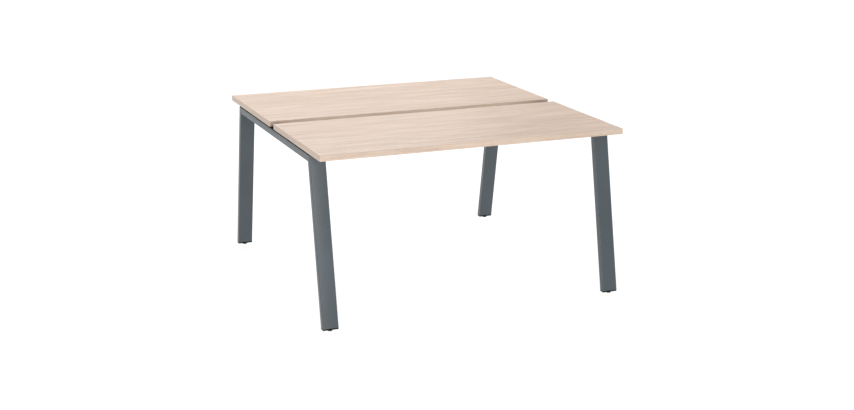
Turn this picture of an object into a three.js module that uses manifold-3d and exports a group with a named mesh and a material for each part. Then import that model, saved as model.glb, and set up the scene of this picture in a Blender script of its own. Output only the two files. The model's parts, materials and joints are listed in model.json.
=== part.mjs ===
// Benching desk for two: two facing worktops with a cable gap between them, carried on two
// trapezoid leg frames of flat steel tube that are tied together by two beams.
// Millimetres, +Z up. The origin is on the floor under the middle of the desk,
// +X runs along the cable gap, and the front user sits on the -Y side.
import * as THREE from 'three';
import { mergeVertices } from 'three/addons/utils/BufferGeometryUtils.js';
import Module from 'manifold-3d';

const wasm = await Module();
wasm.setup();

// Overall sizes
const deskHeight = 760;
const topLength = 1400;
const topDepth = 670;
const topThickness = 25;
const cableGap = 60;

// Worktop edging
const edgingThickness = 2;
const edgingArris = 1.2;

// Leg frames: flat rectangular tube with its broad side along X
const tubeWidth = 70;
const tubeThickness = 30;
const tubeWall = 2;
const tubeCornerRadius = 3;
const smallestInnerRadius = 0.5;
const crossbarInset = 140;
const footInset = 2;

// Beams under the worktops
const beamWidth = 60;
const beamFromGap = 300;
const endPlateThickness = 5;

// Spacers that hold the worktops off the frames
const shadowGap = 5;
const spacerSideInset = 1;
const spacerEndInset = 4;
const beamPadLength = 60;
const beamPadSideInset = 8;

// Worktop screws, driven upwards through the tubes
const screwRadius = 3;
const screwHeadLip = 2.5;
const screwHeadHeight = 3.5;
const screwBite = 15;
const screwFromGap = 95;
const screwFromCorner = 75;

// Beam bolts, M8, driven into flow-drilled holes in the crossbars
const boltRadius = 4;
const boltHeadLip = 2.5;
const boltHeadHeight = 4.5;
const boltReach = 12;
const boltFromBeam = 5;
const boltToPlateEnd = 8;

// Leg caps and levelling feet
const capRim = 6;
const capPlugHeight = 18;
const padRadius = 11;
const padEdgeRadius = 1.4;
const padFloor = 1.2;
const padLip = 1.1;
const collarHeight = 1.7;
const collarAcrossFlats = 13;
const studRadius = 4;
const studNeckRadius = 3.4;
const studHeadLip = 2;
const studHeadHeight = 1.1;
const studTip = 1;
const footTravel = 15;
const nutAcrossFlats = 13;
const nutHeight = 6.5;

// Clearances
const seat = 0.3;
const holeClearance = 0.5;
const turningClearance = 0.4;
const tipClearance = 1;

// Facets
const cornerSteps = 3;
const roundSteps = 20;
const fastenerSteps = 12;

// Levels and places that follow from the sizes above
const topUnderside = deskHeight - topThickness;
const frameTop = topUnderside - shadowGap;
const frameUnderside = frameTop - tubeThickness;
const frameMiddle = (frameTop + frameUnderside) / 2;
const spacerHeight = shadowGap - 2 * seat;
const halfDepth = topDepth + cableGap / 2;
const crossbarHalf = halfDepth - crossbarInset;
const frameX = topLength / 2 - tubeWidth / 2;
const crossbarInnerFace = frameX - tubeWidth / 2;
const beamY = cableGap / 2 + beamFromGap;
const plateMiddle = crossbarInnerFace - seat - endPlateThickness / 2;
const beamHalf = plateMiddle - endPlateThickness / 2 - seat;
const screwYs = [cableGap / 2 + screwFromGap, crossbarHalf - screwFromCorner];
const screwHeadRadius = screwRadius + holeClearance + screwHeadLip;
const boltHeadRadius = boltRadius + holeClearance + boltHeadLip;
const boltSpacing = beamWidth + 2 * (boltFromBeam + boltHeadRadius);
const endPlateLength = boltSpacing + 2 * (boltHeadRadius + boltToPlateEnd);

const padHeight = padFloor + seat + studHeadHeight + seat + padLip;
const studHeadRadius = studNeckRadius + studHeadLip;
const collarBottom = padHeight + seat;
const capBottom = collarBottom + collarHeight + seat;
const capTop = capBottom + capRim;
const legBottom = capTop + seat;
const plugTop = capTop + capPlugHeight;
const nutBottom = capBottom + seat;
const nutPocketTop = nutBottom + nutHeight + seat;
const studTop = nutPocketTop + footTravel + studTip + seat;

// The legs lean out from the ends of the crossbar to just inside the worktop edges.
const legOuterAtFoot = halfDepth - footInset;
const legLean = (legOuterAtFoot - crossbarHalf) / (frameTop - legBottom);
const legSection = tubeThickness * Math.hypot(1, legLean);
const legWallSection = tubeWall * Math.hypot(1, legLean);
const legCentre = (z) => crossbarHalf + legLean * (frameTop - z) - legSection / 2;
// The mitre runs from the outer corner of the frame to its inner corner.
const innerCorner = legCentre(frameUnderside) - legSection / 2;
const mitreLean = (crossbarHalf - innerCorner) / tubeThickness;
const mitreGap = (seat / 2) * Math.hypot(1, mitreLean);
const mitreY = (z) => crossbarHalf - mitreLean * (frameTop - z);
const footY = legCentre(legBottom);

// Finishes
const finish = {
  laminate: new THREE.MeshStandardMaterial({ color: '#e6d1c0', roughness: 0.55 }),
  edging: new THREE.MeshStandardMaterial({ color: '#dfc6b2', roughness: 0.5 }),
  powderCoat: new THREE.MeshStandardMaterial({ color: '#646b6e', roughness: 0.5, metalness: 0.35 }),
  blackPlastic: new THREE.MeshStandardMaterial({ color: '#141415', roughness: 0.6 }),
  rubber: new THREE.MeshStandardMaterial({ color: '#1b1a19', roughness: 0.9 }),
  zinc: new THREE.MeshStandardMaterial({ color: '#b9bcbe', roughness: 0.35, metalness: 0.9 }),
};

// A closed mesh as a solid that can be cut and joined.
function solidOf(geometry) {
  const bare = geometry.clone();
  bare.deleteAttribute('normal');
  bare.deleteAttribute('uv');
  const merged = mergeVertices(bare);
  return new wasm.Manifold(new wasm.Mesh({
    numProp: 3,
    vertProperties: new Float32Array(merged.attributes.position.array),
    triVerts: new Uint32Array(merged.index.array),
  }));
}

// A solid back as a mesh geometry.
function geometryOf(solid) {
  const mesh = solid.getMesh();
  const geometry = new THREE.BufferGeometry();
  geometry.setAttribute('position', new THREE.BufferAttribute(mesh.vertProperties, 3));
  geometry.setIndex(new THREE.BufferAttribute(mesh.triVerts, 1));
  geometry.computeVertexNormals();
  return geometry;
}

function cut(geometry, cutters) {
  return geometryOf(cutters.reduce((solid, cutter) => solid.subtract(solidOf(cutter)), solidOf(geometry)));
}

function join(geometries) {
  return geometryOf(geometries.map(solidOf).reduce((sum, solid) => sum.add(solid)));
}

// Outline of a rectangle with rounded corners, centred on the origin.
function roundedRectangle(width, height, radius, Outline = THREE.Shape) {
  const x = width / 2 - radius;
  const y = height / 2 - radius;
  const outline = new Outline();
  outline.absarc(x, y, radius, 0, Math.PI / 2);
  outline.absarc(-x, y, radius, Math.PI / 2, Math.PI);
  outline.absarc(-x, -y, radius, Math.PI, 1.5 * Math.PI);
  outline.absarc(x, -y, radius, 1.5 * Math.PI, 2 * Math.PI);
  outline.closePath();
  return outline;
}

// Section of a tube, with its bore as a hole.
function tubeSection(width, height, sideWall, faceWall) {
  const section = roundedRectangle(width, height, tubeCornerRadius);
  const innerRadius = Math.max(tubeCornerRadius - tubeWall, smallestInnerRadius);
  section.holes.push(
    roundedRectangle(width - 2 * sideWall, height - 2 * faceWall, innerRadius, THREE.Path));
  return section;
}

// A section swept straight from one end to the other. Each end is a function that takes a point
// of the section to its place on that end, so the ends can be square, level or mitred.
function sweep(section, start, end) {
  const geometry = new THREE.ExtrudeGeometry(section, {
    depth: 1, steps: 1, bevelEnabled: false, curveSegments: cornerSteps,
  });
  const points = geometry.attributes.position;
  for (let i = 0; i < points.count; i += 1) {
    const place = points.getZ(i) < 0.5 ? start : end;
    points.setXYZ(i, ...place(points.getX(i), points.getY(i)));
  }
  geometry.computeVertexNormals();
  return geometry;
}

// A section swept along X between two places.
function sweepAlongX(section, fromX, toX) {
  return sweep(section, (y, z) => [fromX, y, z], (y, z) => [toX, y, z]);
}

// An upright round bar between two levels.
function roundBar(radius, bottom, top, steps = roundSteps) {
  return new THREE.CylinderGeometry(radius, radius, top - bottom, steps)
    .rotateX(Math.PI / 2)
    .translate(0, 0, (top + bottom) / 2);
}

// An upright hexagonal bar between two levels, with two of its flats facing along Y.
function hexBar(acrossFlats, bottom, top) {
  return roundBar(acrossFlats / Math.sqrt(3), bottom, top, 6).rotateZ(Math.PI / 6);
}

// A turned piece from a profile of [radius, height] pairs that starts and ends on the axis.
function turned(profile, steps) {
  const points = profile.map(([radius, height]) => new THREE.Vector2(radius, height));
  return new THREE.LatheGeometry(points, steps).rotateX(Math.PI / 2);
}

const desk = new THREE.Group();

function place(name, geometry, material, x = 0, y = 0, z = 0) {
  const mesh = new THREE.Mesh(geometry, material);
  mesh.name = name;
  mesh.position.set(x, y, z);
  desk.add(mesh);
  return mesh;
}

const sides = [['left', -1], ['right', 1]];
const rows = [['front', -1], ['rear', 1]];

// Worktop boards, with blind holes for the screws in their undersides
const boardLength = topLength - 2 * (edgingThickness + seat);
const boardDepth = topDepth - 2 * (edgingThickness + seat);
const topY = (cableGap + topDepth) / 2;

function board(row) {
  const blank = new THREE.BoxGeometry(boardLength, boardDepth, topThickness);
  const holeTop = topUnderside + screwBite + tipClearance - deskHeight + topThickness / 2;
  const places = sides.flatMap(([, side]) => screwYs.map((y) => [side * frameX, row * y]));
  places.push([0, row * beamY]);
  const holes = places.map(([x, y]) =>
    roundBar(screwRadius + holeClearance, -topThickness, holeTop, fastenerSteps)
      .translate(x, y - row * topY, 0));
  return cut(blank, holes);
}

// Edging strip: a flat strip whose two outer arrises are rounded. Its outer face looks along +Y.
function edgingProfile() {
  const outline = new THREE.Shape();
  const half = topThickness / 2;
  const outer = edgingThickness / 2;
  const arris = Math.min(edgingArris, edgingThickness, half);
  outline.moveTo(-outer, -half);
  outline.lineTo(outer - arris, -half);
  outline.absarc(outer - arris, -half + arris, arris, -Math.PI / 2, 0);
  outline.absarc(outer - arris, half - arris, arris, 0, Math.PI / 2);
  outline.lineTo(-outer, half);
  outline.closePath();
  return outline;
}

function edging(length) {
  return sweepAlongX(edgingProfile(), -length / 2, length / 2);
}

for (const [rowName, row] of rows) {
  const middle = deskHeight - topThickness / 2;
  place(`${rowName}_top_board`, board(row), finish.laminate, 0, row * topY, middle);
  const edgeY = topDepth / 2 - edgingThickness / 2;
  const edgeX = topLength / 2 - edgingThickness / 2;
  const outer = place(`${rowName}_top_user_edging`, edging(topLength), finish.edging,
    0, row * (topY + edgeY), middle);
  const inner = place(`${rowName}_top_gap_edging`, edging(topLength), finish.edging,
    0, row * (topY - edgeY), middle);
  (row < 0 ? outer : inner).rotation.z = Math.PI;
  for (const [sideName, side] of sides) {
    place(`${rowName}_top_${sideName}_edging`, edging(boardDepth), finish.edging,
      side * edgeX, row * topY, middle).rotation.z = -side * Math.PI / 2;
  }
}

// Leg frames: a crossbar mitred to two leaning legs
function crossbar(side) {
  const section = tubeSection(tubeWidth, tubeThickness, tubeWall, tubeWall);
  const end = (row) => (x, z) =>
    [x, row * (mitreY(frameMiddle + z) - mitreGap), z];
  const tube = sweep(section, end(1), end(-1));
  const screwHoles = rows.flatMap(([, row]) => screwYs.map((y) =>
    roundBar(screwRadius + holeClearance, -tubeThickness, tubeThickness, fastenerSteps)
      .translate(0, row * y, 0)));
  const boltHoles = rows.flatMap(([, row]) => [-1, 1].map((hand) =>
    roundBar(boltRadius + holeClearance, 0, tubeWidth / 2 + tubeWall, fastenerSteps)
      .rotateY(-side * Math.PI / 2)
      .translate(0, row * beamY + hand * boltSpacing / 2, 0)));
  return cut(tube, [...screwHoles, ...boltHoles]);
}

// A leg is swept from its level foot end up to the mitre, along its own lean.
function leg(row) {
  const section = tubeSection(tubeWidth, legSection, tubeWall, legWallSection);
  const footEnd = (x, y) => [x, row * legCentre(legBottom) + y, legBottom];
  const mitreEnd = (x, y) => {
    const fromOuter = legSection / 2 - row * y;
    const drop = (fromOuter + mitreGap) / (legLean + mitreLean);
    return [x, row * legCentre(frameTop - drop) + y, frameTop - drop];
  };
  return sweep(section, footEnd, mitreEnd);
}

for (const [sideName, side] of sides) {
  place(`${sideName}_crossbar`, crossbar(side), finish.powderCoat, side * frameX, 0, frameMiddle);
  for (const [rowName, row] of rows) {
    place(`${sideName}_${rowName}_leg`, leg(row), finish.powderCoat, side * frameX);
  }
}

// Spacer strips along the crossbars
function spacerStrip() {
  const blank = new THREE.BoxGeometry(
    tubeWidth - 2 * spacerSideInset, 2 * (crossbarHalf - spacerEndInset), spacerHeight);
  const holes = rows.flatMap(([, row]) => screwYs.map((y) =>
    roundBar(screwRadius + holeClearance, -shadowGap, shadowGap, fastenerSteps)
      .translate(0, row * y, 0)));
  return cut(blank, holes);
}

for (const [sideName, side] of sides) {
  place(`${sideName}_spacer_strip`, spacerStrip(), finish.rubber,
    side * frameX, 0, (frameTop + topUnderside) / 2);
}

// Beams, with a plate at each end that bolts to the crossbar, and a pad under the worktop
function beam() {
  const section = tubeSection(beamWidth, tubeThickness, tubeWall, tubeWall);
  const hole = roundBar(screwRadius + holeClearance, -tubeThickness, tubeThickness, fastenerSteps);
  return cut(sweepAlongX(section, -beamHalf, beamHalf), [hole]);
}

function endPlate() {
  const blank = new THREE.BoxGeometry(endPlateThickness, endPlateLength, tubeThickness);
  const holes = [-1, 1].map((hand) =>
    roundBar(boltRadius + holeClearance, -endPlateThickness, endPlateThickness, fastenerSteps)
      .rotateY(Math.PI / 2)
      .translate(0, hand * boltSpacing / 2, 0));
  return cut(blank, holes);
}

function beamPad() {
  const blank = new THREE.BoxGeometry(beamPadLength, beamWidth - 2 * beamPadSideInset, spacerHeight);
  return cut(blank, [roundBar(screwRadius + holeClearance, -shadowGap, shadowGap, fastenerSteps)]);
}

for (const [rowName, row] of rows) {
  place(`${rowName}_beam`, beam(), finish.powderCoat, 0, row * beamY, frameMiddle);
  place(`${rowName}_beam_pad`, beamPad(), finish.rubber, 0, row * beamY, (frameTop + topUnderside) / 2);
  for (const [sideName, side] of sides) {
    place(`${rowName}_beam_${sideName}_plate`, endPlate(), finish.powderCoat,
      side * plateMiddle, row * beamY, frameMiddle);
  }
}

// Beam bolts: the head bears on the end plate and the shank points outwards along X
function beamBolt() {
  const shank = endPlateThickness + seat + tubeWall + boltReach;
  const head = -boltHeadHeight;
  const shoulder = boltHeadHeight / 3;
  return turned([
    [0, head], [boltHeadRadius - shoulder, head], [boltHeadRadius, head + shoulder],
    [boltHeadRadius, 0], [boltRadius, 0], [boltRadius, shank], [0, shank],
  ], fastenerSteps);
}

for (const [rowName, row] of rows) {
  for (const [sideName, side] of sides) {
    for (const [handName, hand] of [['front', -1], ['rear', 1]]) {
      const bearing = side * (plateMiddle - endPlateThickness / 2 - seat);
      place(`${rowName}_beam_${sideName}_${handName}_bolt`, beamBolt(), finish.zinc,
        bearing, row * beamY + hand * boltSpacing / 2, frameMiddle).rotation.y = side * Math.PI / 2;
    }
  }
}

// Worktop screws: the head bears on the underside of the tube
function worktopScrew() {
  const bearing = frameUnderside - seat;
  const head = bearing - screwHeadHeight;
  const tip = topUnderside + screwBite;
  const dome = screwHeadHeight / 2;
  return turned([
    [0, head], [screwHeadRadius - dome, head], [screwHeadRadius, head + dome],
    [screwHeadRadius, bearing], [screwRadius, bearing],
    [screwRadius, tip - screwRadius], [0, tip],
  ], fastenerSteps);
}

for (const [rowName, row] of rows) {
  for (const [sideName, side] of sides) {
    screwYs.forEach((y, i) => place(`${rowName}_top_${sideName}_screw_${i + 1}`, worktopScrew(),
      finish.zinc, side * frameX, row * y));
  }
  place(`${rowName}_top_middle_screw`, worktopScrew(), finish.zinc, 0, row * beamY);
}

// Leg cap: a rim under the tube end and a plug that fills the bore, with a pocket for the nut
function legCap(row) {
  const rimOutline = roundedRectangle(tubeWidth, legSection, tubeCornerRadius);
  const rim = sweep(rimOutline,
    (x, y) => [x, row * footY + y, capBottom], (x, y) => [x, row * footY + y, capTop]);
  const plugOutline = roundedRectangle(
    tubeWidth - 2 * (tubeWall + seat), legSection - 2 * (legWallSection + seat),
    Math.max(tubeCornerRadius - tubeWall, smallestInnerRadius));
  const level = (z) => (x, y) => [x, row * legCentre(z) + y, z];
  const plug = sweep(plugOutline, level(capTop - capRim / 2), level(plugTop));
  const pocket = hexBar(nutAcrossFlats + 2 * seat, capBottom - capRim, nutPocketTop);
  const bore = roundBar(studRadius + holeClearance, capBottom, plugTop + capRim);
  return cut(join([rim, plug]), [pocket, bore].map((cutter) => cutter.translate(0, row * footY, 0)));
}

function footNut() {
  return cut(hexBar(nutAcrossFlats, nutBottom, nutBottom + nutHeight),
    [roundBar(studRadius + turningClearance, nutBottom - nutHeight, nutBottom + 2 * nutHeight)]);
}

// Foot pad: a low round glide that holds the head of the stud under a lip
function footPad() {
  const lipRadius = studNeckRadius + turningClearance;
  const cavityRadius = studHeadRadius + turningClearance;
  const lipBottom = padHeight - padLip;
  return turned([
    [0, 0], [padRadius - padEdgeRadius, 0], [padRadius, padEdgeRadius],
    [padRadius, padHeight - padEdgeRadius / 2], [padRadius - padEdgeRadius / 2, padHeight],
    [lipRadius, padHeight], [lipRadius, lipBottom], [cavityRadius, lipBottom],
    [cavityRadius, padFloor], [0, padFloor],
  ], roundSteps);
}

// Foot stud: a head that turns in the pad, a hexagon for a spanner, and a threaded shank
function footStud() {
  const headBottom = padFloor + seat;
  const headTop = headBottom + studHeadHeight;
  const shank = turned([
    [0, headBottom], [studHeadRadius, headBottom], [studHeadRadius, headTop],
    [studNeckRadius, headTop], [studNeckRadius, collarBottom + collarHeight / 2],
    [studRadius, collarBottom + collarHeight / 2],
    [studRadius, studTop - studTip], [studRadius - studTip, studTop], [0, studTop],
  ], roundSteps);
  return join([shank, hexBar(collarAcrossFlats, collarBottom, collarBottom + collarHeight)]);
}

for (const [sideName, side] of sides) {
  for (const [rowName, row] of rows) {
    const corner = `${sideName}_${rowName}`;
    const x = side * frameX;
    place(`${corner}_leg_cap`, legCap(row), finish.blackPlastic, x);
    place(`${corner}_foot_nut`, footNut(), finish.zinc, x, row * footY);
    place(`${corner}_foot_stud`, footStud(), finish.zinc, x, row * footY);
    place(`${corner}_foot_pad`, footPad(), finish.blackPlastic, x, row * footY);
  }
}

export default desk;
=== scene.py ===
# %% [markdown]
# # A benching desk for two
# Two people work face to face at this desk. It has two worktops of pale oak laminate with a cable gap
# between them, and two leg frames of flat steel tube that lean outwards down to four levelling feet. The
# construction is ready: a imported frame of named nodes, in metres. We could paint those nodes as they are,
# but their edges are as sharp as a drawing, and a real edge shows by its small roundness. So every piece
# below is modelled by hand in the place of one node, rides on that node's body and hides the node.

# %% Load the frame
import json
import math

import bmesh
import bpy
from mathutils import Matrix, Vector


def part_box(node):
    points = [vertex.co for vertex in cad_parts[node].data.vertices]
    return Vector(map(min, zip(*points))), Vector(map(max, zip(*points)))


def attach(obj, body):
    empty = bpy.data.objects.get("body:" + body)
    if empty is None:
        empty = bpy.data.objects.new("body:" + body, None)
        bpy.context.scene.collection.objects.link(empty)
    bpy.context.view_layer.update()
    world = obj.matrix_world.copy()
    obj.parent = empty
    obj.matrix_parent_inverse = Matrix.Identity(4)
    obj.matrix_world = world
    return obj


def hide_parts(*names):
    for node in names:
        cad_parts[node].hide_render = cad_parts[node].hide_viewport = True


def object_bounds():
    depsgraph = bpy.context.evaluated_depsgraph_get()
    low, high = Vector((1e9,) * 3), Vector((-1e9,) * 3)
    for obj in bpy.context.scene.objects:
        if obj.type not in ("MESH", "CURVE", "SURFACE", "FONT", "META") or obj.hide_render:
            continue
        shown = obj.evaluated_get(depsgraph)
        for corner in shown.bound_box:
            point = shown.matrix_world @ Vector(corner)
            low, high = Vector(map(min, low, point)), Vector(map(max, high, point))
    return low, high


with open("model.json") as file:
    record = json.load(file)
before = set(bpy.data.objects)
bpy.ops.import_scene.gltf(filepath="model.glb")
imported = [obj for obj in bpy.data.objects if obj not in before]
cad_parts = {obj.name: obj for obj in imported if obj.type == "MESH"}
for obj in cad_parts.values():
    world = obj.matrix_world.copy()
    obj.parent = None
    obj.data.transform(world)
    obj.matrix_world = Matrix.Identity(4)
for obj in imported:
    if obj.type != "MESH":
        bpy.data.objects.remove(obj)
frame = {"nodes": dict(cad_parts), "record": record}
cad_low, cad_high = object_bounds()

MM = 0.001

# %% [markdown]
# ## How a finish is built
# No surface on the desk has one flat colour. A finish here starts from the desk's own metres, which
# Blender calls Object coordinates, and runs noise through them. Noise with equal repeats each way gives
# clouds, specks and peel; with few repeats along the desk and many across it, it gives wood grain. A
# picture of the surface would do as well, but noise has no seams, no tiles and as much detail as we ask.

# %% A new finish and its noise
def new_finish(name):
    """A material, its node tree, its shader and the desk's own metres."""
    finish = bpy.data.materials.new(name)
    finish.use_nodes = True
    tree = finish.node_tree
    place = tree.nodes.new("ShaderNodeTexCoord").outputs["Object"]
    return finish, tree, tree.nodes["Principled BSDF"], place


def noise(tree, place, repeats, detail, turn=0.0):
    """Noise with so many repeats per metre along X, Y and Z, after a turn about Z."""
    mapping = tree.nodes.new("ShaderNodeMapping")
    mapping.vector_type = "TEXTURE"
    mapping.inputs["Rotation"].default_value = (0, 0, turn)
    mapping.inputs["Scale"].default_value = [1 / repeat for repeat in repeats]
    cloud = tree.nodes.new("ShaderNodeTexNoise")
    cloud.inputs["Scale"].default_value = 1
    cloud.inputs["Detail"].default_value = detail
    tree.links.new(place, mapping.inputs["Vector"])
    tree.links.new(mapping.outputs["Vector"], cloud.inputs["Vector"])
    return cloud.outputs["Fac"]


def blend_of(tree, first, second, share):
    """A share of the second value, and the rest of the first."""
    mix = tree.nodes.new("ShaderNodeMix")
    mix.inputs["Factor"].default_value = share
    tree.links.new(first, mix.inputs["A"])
    tree.links.new(second, mix.inputs["B"])
    return mix.outputs["Result"]


print("noise ready, measured in repeats per metre")

# %% [markdown]
# ## From noise to a surface
# A shader asks three things of that noise: a colour, a roughness and a height. A ramp gives it colours, a
# Map Range node makes it a number between two limits, and a Bump node lets it tilt the light, as relief
# too fine to model does. We could paint the three apart, but where one noise drives them all, they agree,
# as they do on a real surface: a pore is dark, dull and deep in the same place.

# %% Tones, ranges and relief
NOISE_LOW = 0.35
NOISE_HIGH = 0.65


def ranged(tree, value, low, high, start=NOISE_LOW, end=NOISE_HIGH):
    """A value from start to end, as a number from low to high."""
    spread = tree.nodes.new("ShaderNodeMapRange")
    spread.inputs["From Min"].default_value = start
    spread.inputs["From Max"].default_value = end
    spread.inputs["To Min"].default_value = low
    spread.inputs["To Max"].default_value = high
    tree.links.new(value, spread.inputs["Value"])
    return spread.outputs["Result"]


def toned(tree, value, tones):
    """A value as a colour, by a ramp of (place, colour) pairs."""
    ramp = tree.nodes.new("ShaderNodeValToRGB")
    stops = ramp.color_ramp.elements
    while len(stops) < len(tones):
        stops.new(0.5)
    for stop, (place, colour) in zip(stops, tones):
        stop.position = place
        stop.color = (*colour, 1)
    tree.links.new(value, ramp.inputs["Fac"])
    return ramp.outputs["Color"]


def bumped(tree, shader, height, depth, strength):
    """Let a height of that depth in metres tilt the light."""
    bump = tree.nodes.new("ShaderNodeBump")
    bump.inputs["Strength"].default_value = strength
    bump.inputs["Distance"].default_value = depth
    tree.links.new(height, bump.inputs["Height"])
    tree.links.new(bump.outputs["Normal"], shader.inputs["Normal"])


print("most noise lies between", NOISE_LOW, "and", NOISE_HIGH)

# %% [markdown]
# ## The bend of the grain
# The worktops are chipboard under a laminate printed as pale oak, with the grain along the desk. Noise
# that is only stretched runs dead straight, and looks brushed. No tree grows along a ruler, so a slow
# noise is added to the metres before the grain reads them, and it leads every streak a few millimetres
# aside. A wave texture with distortion could do that too, but it would turn the grain into neat stripes.

# %% Bend the grain
BEND = 7 * MM
BEND_REPEATS = (1.6, 4, 4)


def wavering(tree, place, start, turn):
    """The desk's metres from a start on the print, bent a few millimetres."""
    roll = tree.nodes.new("ShaderNodeMapping")
    roll.inputs["Location"].default_value = start
    bend = tree.nodes.new("ShaderNodeVectorMath")
    bend.operation = "ADD"
    sway = noise(tree, place, BEND_REPEATS, detail=1, turn=turn)
    aside = ranged(tree, sway, low=-BEND, high=BEND)
    tree.links.new(place, roll.inputs["Vector"])
    tree.links.new(roll.outputs["Vector"], bend.inputs[0])
    tree.links.new(aside, bend.inputs[1])
    return bend.outputs["Vector"]


print("the grain strays", BEND / MM, "mm to either side")

# %% [markdown]
# ## Pale oak
# From a few steps the oak reads as faint streaks, a hand's length long and some millimetres wide; near by
# there are finer lines and the short dark pores of oak. One noise with much detail would give streaks of
# one length, so five layers are mixed, each with its own length and width. The edging is the same oak on
# a plastic strip, darker and quieter than the tops. Its grain runs along the strip, so the end strips get
# the pattern turned, and each print has its own start, as strips come off different rolls.

# %% Print the oak
PORE_START = 0.58
PORE_FULL = 0.7
PORE_SHARE = 0.55
PORE_TINT = (0.62, 0.52, 0.44, 1)
# the colour sockets of a Mix node
COLOUR_A = 6
COLOUR_B = 7
COLOUR_RESULT = 2


def pale_oak(name, dark, mean, light, start=(0, 0, 0), turn=0.0):
    """Oak print in three tones, with its grain along X or turned about Z."""
    finish, tree, shader, place = new_finish(name)
    trunk = wavering(tree, place, start, turn)
    drift = noise(tree, trunk, (1.1, 6, 6), detail=2, turn=turn)
    bands = noise(tree, trunk, (2.4, 38, 38), detail=3, turn=turn)
    streaks = noise(tree, trunk, (5.5, 120, 120), detail=3, turn=turn)
    lines = noise(tree, trunk, (14, 500, 500), detail=2, turn=turn)
    pores = noise(tree, trunk, (26, 1250, 1250), detail=1, turn=turn)
    broad = blend_of(tree, drift, bands, share=0.75)
    narrow = blend_of(tree, streaks, lines, share=0.4)
    grain = blend_of(tree, broad, narrow, share=0.55)
    shade = tree.nodes.new("ShaderNodeMix")
    shade.data_type = "RGBA"
    shade.blend_type = "MULTIPLY"
    shade.inputs[COLOUR_B].default_value = PORE_TINT
    dots = ranged(tree, pores, 0, PORE_SHARE, PORE_START, PORE_FULL)
    tones = toned(tree, grain, [(0.4, dark), (0.5, mean), (0.6, light)])
    tree.links.new(dots, shade.inputs["Factor"])
    tree.links.new(tones, shade.inputs[COLOUR_A])
    tree.links.new(shade.outputs[COLOUR_RESULT], shader.inputs["Base Color"])
    tree.links.new(ranged(tree, lines, low=0.36, high=0.48), shader.inputs["Roughness"])
    sunk = ranged(tree, pores, 1, 0, PORE_START, PORE_FULL)
    bumped(tree, shader, blend_of(tree, lines, sunk, share=0.4), depth=0.2 * MM, strength=0.12)
    return finish


LAMINATE_TONES = ((0.53, 0.38, 0.281), (0.645, 0.482, 0.37), (0.725, 0.57, 0.457))
EDGING_TONES = ((0.475, 0.364, 0.285), (0.54, 0.418, 0.331), (0.592, 0.467, 0.377))
laminate_oak = pale_oak("laminate_oak", *LAMINATE_TONES)
edging_oak = pale_oak("edging_oak", *EDGING_TONES, start=(12.4, 0, 0))
end_edging_oak = pale_oak("end_edging_oak", *EDGING_TONES, start=(0, 7.9, 0), turn=math.pi / 2)
print("oak finishes:", laminate_oak.name, edging_oak.name, end_edging_oak.name)

# %% [markdown]
# ## Starting a piece
# Most pieces of the desk are cut from board, tube or bar, so most begin as a cube of the right size in
# the right place. Blender's operators act on all that is selected, and a freshly loaded frame is selected
# from end to end, so the bench is cleared first. The cube's size could stay in the object's scale, but
# then a bevel would come out stretched, so place, turn and scale go straight into the mesh.

# %% Clear the bench and add a block
def clear_bench():
    """Leave edit mode and select nothing."""
    if bpy.context.mode != "OBJECT":
        bpy.ops.object.mode_set(mode="OBJECT")
    bpy.ops.object.select_all(action="DESELECT")


def only(piece):
    """Make this piece the one that is selected and active."""
    clear_bench()
    piece.select_set(True)
    bpy.context.view_layer.objects.active = piece


def settled(name):
    """Name the new primitive, and put its place, turn and size into its mesh."""
    piece = bpy.context.active_object
    piece.name = name
    bpy.ops.object.transform_apply(location=True, rotation=True, scale=True)
    return piece


def block(name, low, high, turn=(0, 0, 0)):
    """A cube stretched from corner to corner, turned about its middle."""
    clear_bench()
    low = Vector(low)
    high = Vector(high)
    bpy.ops.mesh.primitive_cube_add(size=1, location=(low + high) / 2, rotation=turn)
    bpy.context.active_object.scale = high - low
    return settled(name)


print("bench clear, mode", bpy.context.mode)

# %% [markdown]
# ## Picking edges and rounding them
# No edge of a real desk is sharp: boards are trimmed, tube is rolled and plastic leaves its mould with a
# radius. By hand we would click the edges to round. A script says instead where they lie or which way
# they run, and the bevel operator does the rest. A Bevel modifier would be shorter, but it goes by angle
# alone, and could not tell the outer edge of a strip from the one that is glued.

# %% Pick parts and round edges
X_AXIS = Vector((1, 0, 0))
Y_AXIS = Vector((0, 1, 0))
Z_AXIS = Vector((0, 0, 1))
PARALLEL = 0.999


def pick(piece, kind, wanted):
    """In edit mode, select the vertices, edges or faces that pass a test."""
    only(piece)
    bpy.ops.object.mode_set(mode="EDIT")
    bpy.ops.mesh.select_mode(type=kind)
    bpy.ops.mesh.select_all(action="DESELECT")
    shape = bmesh.from_edit_mesh(piece.data)
    parts = {"VERT": shape.verts, "EDGE": shape.edges, "FACE": shape.faces}[kind]
    for part in parts:
        if wanted(part):
            part.select_set(True)
    shape.select_flush_mode()
    bmesh.update_edit_mesh(piece.data)


def everything(part):
    """A test that every part passes."""
    return True


def along(edge, direction):
    """True where an edge runs in a direction, either way."""
    run = (edge.verts[1].co - edge.verts[0].co).normalized()
    return abs(run.dot(direction.normalized())) > PARALLEL


def round_edges(piece, wanted, radius, steps):
    """Bevel the edges that pass a test into a round."""
    pick(piece, "EDGE", wanted)
    bpy.ops.mesh.bevel(offset=radius, segments=steps, affect="EDGES")
    only(piece)


print("edges can be picked and rounded")

# %% [markdown]
# ## Fitting a piece to its node
# A finished piece takes the place of one node of the construction. Fitting it means three things: its
# finish, smooth shading up to a real edge, and the body of the node that it stands for. Parenting sixty
# pieces by hand would invite slips, so the record itself says which body belongs to a node.

# %% Finish, ride and replace
SHARP_EDGE = math.radians(30)
bodies = frame["record"]["behaviour"]["bodies"]
body_of_node = {node: body for body, nodes in bodies.items() for node in nodes}


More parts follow.
